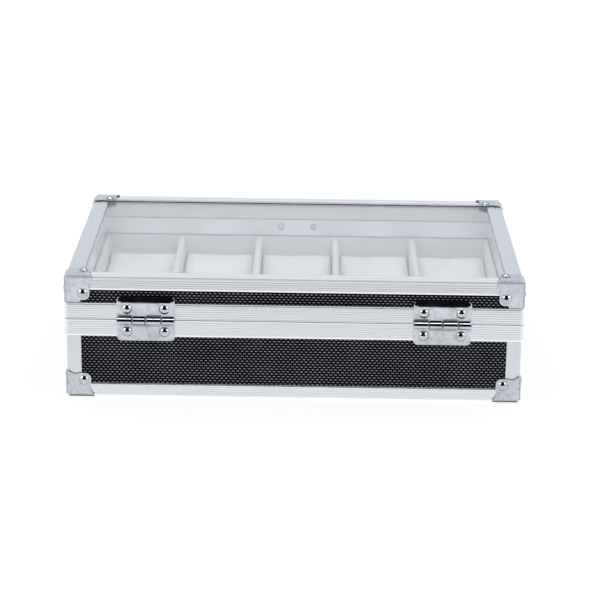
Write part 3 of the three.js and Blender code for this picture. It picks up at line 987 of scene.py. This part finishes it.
def add_lever(lever, claw):
    """The pressed lever: a cover between two flanges, and a lip under the finger."""
    low, high = span("latch_lever")
    half = high.x
    eye, cover, bottom = LATCH_EYE, LATCH_COVER, LEVER_BOTTOM
    top = lever.z + 0.3
    flange = rounded([
        (cover, bottom, 0), (cover, top, 0), (lever.y + eye * 0.6, lever.z + eye, 1.2),
        (lever.y - eye, lever.z + eye * 0.6, 1.2), (claw.y - eye, claw.z - eye * 0.6, 1.2),
        (claw.y + eye * 0.6, claw.z - eye, 1.2), (cover - 0.8, bottom + 1.6, 0.8)], 5)
    front = [(-half, bottom), (half, bottom), (half, top), (-half, top)]
    body = flanged_sheet("lever_body", flange, front, half, (0, HALF_Y + 2, 43), 1.5)
    lip = side_plate("lever_lip", rounded([
        (cover - 1, bottom + 1.2, 0), (cover - 1, bottom, 1.0), (cover - 0.1, low.z, 0.4),
        (cover + 0.4, low.z + 0.4, 0.4), (cover, bottom + 0.8, 0.6), (cover, bottom + 1.4, 0),
        ], 4), -half + 0.6, half - 0.6)
    middle = front_plate("lever_raised", rectangle(-6, 38.5, 6, 47.5, 1.5, 5), cover - 0.5,
                         cover + 0.35)
    piece(merge("latch_lever_visual", [body, lip, middle]), CHROME, "latch_lever")


def add_claw(claw):
    """The claw: two arms from its pin, joined by a plate that hooks over the catch."""
    high = span("latch_claw")[1]
    half = high.x
    eye, cover, step, shoulder = LATCH_EYE, LATCH_COVER, CLAW_STEP, CLAW_SHOULDER
    arm = rounded([
        (claw.y - eye, claw.z - eye * 0.2, 1.3), (claw.y - eye * 0.2, claw.z - eye, 1.3),
        (claw.y + eye, claw.z - eye * 0.2, 1.3), (claw.y + eye, step - 1.3, 1.2),
        (cover, step, 0), (cover, shoulder, 0), (3.7, shoulder, 0.5),
        (3.7, shoulder - 1.5, 0.8), (claw.y - eye, shoulder - 3.5, 0.8)], 5)
    hook = rounded([(-half, step, 0), (half, step, 0), (half, shoulder, 0), (8.2, 61, 1.5),
                    (7.2, high.z, 1.2), (-7.2, high.z, 1.2), (-8.2, 61, 1.5),
                    (-half, shoulder, 0)], 4)
    body = flanged_sheet("latch_claw_visual", arm, hook, half, (0, HALF_Y + 1, 55), 1.3)
    piece(body, CHROME, "latch_claw")


def add_latch():
    lever = centre("lever_pin") - Vector((0, HALF_Y, 0))
    claw = centre("claw_pin") - Vector((0, HALF_Y, 0))
    add_catch()
    add_latch_base(lever)
    add_lever(lever, claw)
    add_claw(claw)
    add_pin("lever_pin")
    add_pin("claw_pin")


# ------------ velvet interior

def waver(obj, amount, wave, freeze=()):
    """Moves points sideways by smooth noise, so that a covered card isn't dead straight."""
    for vertex in obj.data.vertices:
        shift = noise.noise_vector(vertex.co / (wave * MM)) * amount * MM
        vertex.co += Vector([0 if axis in freeze else shift[axis] for axis in range(3)])
    return obj


def add_liner():
    """The tray's covered walls, with a rolled upper edge."""
    low, high = span("tray_liner")
    outer = HALF_X - high.x
    wall = 2.7
    section = [(outer, low.z, 0), (outer, high.z, 0.9), (outer + wall, high.z, 1.2),
               (outer + wall, low.z, 0)]
    piece(swept_ring("tray_liner_visual", section, 0.5, 2), VELVET, "tray_liner")
    low, high = span("lid_lining")
    outer = HALF_X - high.x
    section = [(outer, low.z, 0.2), (outer, high.z, 0.2), (outer + 1.2, high.z, 0.5),
               (outer + 1.2, low.z, 0.5)]
    piece(swept_ring("lid_lining_visual", section, 0.5, 2), VELVET, "lid_lining")


def add_dividers():
    """Velvet-covered cards with rounded tops."""
    for k in range(1, 5):
        node = f"divider_{k}"
        low, high = span(node)
        section = rounded([(low.x + 0.2, low.z, 0), (high.x - 0.2, low.z, 0),
                           (high.x - 0.2, high.z - 0.2, 1.9), (low.x + 0.2, high.z - 0.2, 1.9)], 6)
        card = prism(node + "_visual", section, low.y, high.y, lambda x, z, y: (x, y, z), 60)
        piece(tidy(waver(card, 0.3, 40, (1,)), 50), VELVET, node)


def pad_levels(low, high, cell, edge):
    """Where the cells of a pad start along one axis, with narrow ones at both ends."""
    count = max(round((high - low) / cell), 3)
    inside = [low + edge + (high - low - 2 * edge) * k / count for k in range(count + 1)]
    return [low, low + 0.3 * edge, *inside, high - 0.3 * edge, high]


def pad_start(name, low, high, cell=4.5, edge=1.5):
    """A pad before it is filled: a box of cells with rounded edges, slightly smaller than
    its bay."""
    gap, rise = 0.3, 1.6
    a = low + Vector((gap, gap, 0))
    b = high - Vector((gap, gap, rise))
    levels = [pad_levels(a[i], b[i], cell, edge) for i in range(3)]
    counts = [len(level) - 1 for level in levels]
    numbers = {}
    faces = []

    def number(*step):
        return numbers.setdefault(step, len(numbers))

    for axis in range(3):
        p, q = (axis + 1) % 3, (axis + 2) % 3
        for end in (0, counts[axis]):
            for i in range(counts[p]):
                for j in range(counts[q]):
                    ring = []
                    for di, dj in ((0, 0), (1, 0), (1, 1), (0, 1)):
                        step = [0, 0, 0]
                        step[axis], step[p], step[q] = end, i + di, j + dj
                        ring.append(number(*step))
                    faces.append(ring)
    vertices = []
    for step in numbers:
        point = Vector([levels[i][step[i]] for i in range(3)])
        core = Vector([min(max(point[i], a[i] + edge), b[i] - edge) for i in range(3)])
        vertices.append(core + (point - core).normalized() * edge)
    return make(name, vertices, faces)


def filled(obj, low, high, cap):
    """Swells the pad as cloth under pressure and keeps it inside its bay."""
    start = [v.co.copy() for v in obj.data.vertices]
    cloth = obj.modifiers.new("fill", "CLOTH")
    cloth.settings.use_pressure = True
    cloth.settings.uniform_pressure_force = 4
    cloth.settings.effector_weights.gravity = 0
    for step in range(1, 21):
        scene.frame_set(step)
    evaluated = obj.evaluated_get(bpy.context.evaluated_depsgraph_get())
    swollen = [v.co.copy() for v in evaluated.data.vertices]
    obj.modifiers.clear()
    scene.frame_set(1)
    for vertex, before, after in zip(obj.data.vertices, start, swollen):
        move = after - before
        if move.length > cap * MM:
            move = move.normalized() * cap * MM
        place = before + move
        vertex.co = [min(max(place[i], low[i] * MM), high[i] * MM) for i in range(3)]
    return obj


def add_pads():
    for k in range(1, 6):
        node = f"pad_{k}"
        low, high = span(node)
        pad = pad_start(node + "_visual", low, high)
        filled(pad, low, high, 4)
        smooth = pad.modifiers.new("smooth", "SUBSURF")
        smooth.levels = smooth.render_levels = 1
        tidy(apply_modifiers(pad), 60)
        piece(pad, PAD_VELVET, node)


def add_rivet_tails():
    """Set rivet ends inside the lid: two behind the catch, four behind the hinges."""
    profile = [(0, -0.2), (2.6, -0.2), (2.6, 0.25), (2.3, 0.6), (1.75, 0.72), (1.3, 0.6),
               (1.1, 0.15), (0, 0.1)]
    across, up = CATCH_RIVET
    shapes = [lathe(profile, (s * across, HALF_Y - RIM_INNER, up), (0, -1, 0)) for s in (-1, 1)]
    piece(turned("catch_rivet_tails", shapes), CHROME, "lid_rim", False)
    across, up = LEAF_RIVET
    shapes = []
    for side in ("left", "right"):
        middle = centre(f"hinge_pin_{side}")
        for s in (-1, 1):
            place = (middle.x + s * across, RIM_INNER - HALF_Y, middle.z + up)
            shapes.append(lathe(profile, place, (0, 1, 0)))
    piece(turned("hinge_rivet_tails", shapes), CHROME, "lid_rim", False)


# ------------ studio

def add_camera():
    """At the hinge side, looking down on the case, slightly turned and rolled."""
    place = Vector((11.0, -1431, 507.6))
    yaw, pitch, roll = (math.radians(a) for a in (0.31, 18.17, 0.75))
    turn = Matrix.Rotation(yaw, 3, "Z")
    forward = turn @ Vector((0, math.cos(pitch), -math.sin(pitch)))
    right = turn @ Vector((1, 0, 0))
    up = right.cross(forward)
    tilted_right = math.cos(roll) * right + math.sin(roll) * up
    tilted_up = math.cos(roll) * up - math.sin(roll) * right
    axes = Matrix((tilted_right, tilted_up, -forward)).transposed().to_4x4()
    data = bpy.data.cameras.new("camera")
    data.sensor_width = 36
    data.lens = 124.8
    data.clip_start = 0.05
    data.clip_end = 50
    camera = bpy.data.objects.new("camera", data)
    camera.matrix_world = Matrix.Translation(place * MM) @ axes
    scene.collection.objects.link(camera)
    scene.camera = camera


def add_floor():
    """A white table that glows a little, so that only a faint shade lies under the case."""
    half = 9000
    floor = make("floor", [(-half, -half, 0), (half, -half, 0), (half, half, 0),
                           (-half, half, 0)], [(0, 1, 2, 3)])
    material, tree, shader = new_material("white_table")
    speckle = grain(tree, 30, 3)
    colour = mixed(tree, speckle, rgb(0.34, 0.34, 0.34), rgb(0.36, 0.36, 0.36))
    feed(tree, shader, {
        "Base Color": colour, "Roughness": 1, "Specular IOR Level": 0,
        "Emission Color": rgb(1, 1, 1), "Emission Strength": 0.83})
    floor.data.materials.append(material)


def add_world():
    """White surroundings with a dark opening on the hinge side, a grey band high up all
    round, and a cooler low band on the latch side."""
    world = bpy.data.worlds.new("studio")
    scene.world = world
    world.use_nodes = True
    tree = world.node_tree
    place = add_node(tree, "TexCoord", {}).outputs["Generated"]
    axes = add_node(tree, "SeparateXYZ", {"Vector": place}).outputs

    def step(value, start, end):
        node = add_node(tree, "MapRange", {"Value": value, "From Min": start, "From Max": end},
                        interpolation_type="SMOOTHSTEP")
        return node.outputs["Result"]

    def product(first, second):
        return add_node(tree, "Math", {0: first, 1: second}, operation="MULTIPLY").outputs[0]

    level = add_node(tree, "CombineXYZ", {"X": axes["X"], "Y": axes["Y"]}).outputs[0]
    heading = add_node(tree, "VectorMath", {0: level}, operation="NORMALIZE").outputs[0]
    ahead = add_node(tree, "SeparateXYZ", {"Vector": heading}).outputs["Y"]
    opening = product(step(ahead, -0.76, -0.81), step(axes["Z"], 0.985, 0.96))
    band = product(step(axes["Z"], 0.5, 0.56), step(axes["Z"], 0.76, 0.7))
    behind = product(step(axes["Y"], 0.2, 0.8), step(axes["Z"], 0.5, 0.3))
    walls = mixed(tree, behind, rgb(0.9, 0.91, 0.92), rgb(0.85, 0.89, 0.94))
    walls = mixed(tree, band, walls, rgb(0.3, 0.3, 0.32))
    colour = mixed(tree, opening, walls, rgb(0.012, 0.012, 0.014))
    feed(tree, tree.nodes["Background"], {"Color": colour, "Strength": 1})


def add_black_flag():
    """A low black card on the hinge side, seen only in reflections."""
    half, near, top = 320, -430, 120
    card = make("black_flag", [(-half, near, 0), (half, near, 0), (half, near, top),
                               (-half, near, top)], [(0, 1, 2, 3)])
    material, tree, shader = new_material("black_card")
    weave = grain(tree, 400, 2)
    colour = mixed(tree, weave, rgb(0.004, 0.004, 0.004), rgb(0.01, 0.01, 0.011))
    feed(tree, shader, {"Base Color": colour, "Roughness": 1, "Specular IOR Level": 0})
    card.data.materials.append(material)
    card.visible_camera = False
    card.visible_diffuse = False
    card.visible_transmission = False
    card.visible_shadow = False


def made_of(*materials):
    """The pieces that are made of the materials."""
    return [obj for obj in scene.objects
            if obj.type == "MESH" and obj.data.materials and obj.data.materials[0] in materials]


def add_softbox(name, place, aim, size, radiance, pieces):
    """A rectangular area lamp that points at aim and lights the pieces."""
    data = bpy.data.lights.new(name, "AREA")
    data.shape = "RECTANGLE"
    data.size, data.size_y = size
    data.energy = radiance * math.pi * size[0] * size[1]
    lamp = bpy.data.objects.new(name, data)
    lamp.location = place
    lamp.rotation_euler = (Vector(aim) - Vector(place)).to_track_quat("-Z", "Y").to_euler()
    lamp.visible_camera = False
    scene.collection.objects.link(lamp)
    lit = bpy.data.collections.new(name + "_lights")
    for obj in pieces:
        lit.objects.link(obj)
    lamp.light_linking.receiver_collection = lit


def add_softboxes():
    """The plated fittings see two bright boxes with the dark opening between them, and a
    third box above. The corner caps have a strip in the opening in place of that third box.
    All other pieces see a wide white window there, and black and velvet a lamp overhead."""
    metal = made_of(ALONG_X, ALONG_Y, ALONG_Z, ROUND_CASE)
    matt = made_of(BLACK, VELVET, PAD_VELVET)
    plated = made_of(CHROME)
    caps = [obj for obj in plated if "_cap_" in obj.name and obj.name.endswith("_visual")]
    for name, side in (("softbox_left", -1), ("softbox_right", 1)):
        add_softbox(name, (side * 1.0, -0.75, 0.7), (0, 0, 0), (0.7, 0.7), 2.6, plated)
    add_softbox("window", (0, -1.6, 1.0), (0, 0, 1.0), (2.5, 2.0), 0.9,
                metal + matt + made_of(PANE))
    add_softbox("strip", (0, -1.6, 0.68), (0, 0, 0.68), (2.5, 0.32), 0.9, caps)
    add_softbox("softbox_top", (0, 0.05, 1.7), (0, 0, 0), (0.7, 0.7), 3.3,
                [obj for obj in plated if obj not in caps])
    add_softbox("overhead", (0, 0.05, 1.7), (0, 0, 0), (1.2, 1.2), 2.5, matt)


def add_studio():
    add_camera()
    add_floor()
    add_world()
    add_black_flag()
    scene.view_settings.view_transform = "Standard"


# ------------ build

add_studio()
add_pads()
add_rims()
add_trims()
add_posts()
add_walls()
add_pane()
add_caps()
add_liner()
add_dividers()
add_rivet_tails()
add_hinges()
add_latch()
add_softboxes()
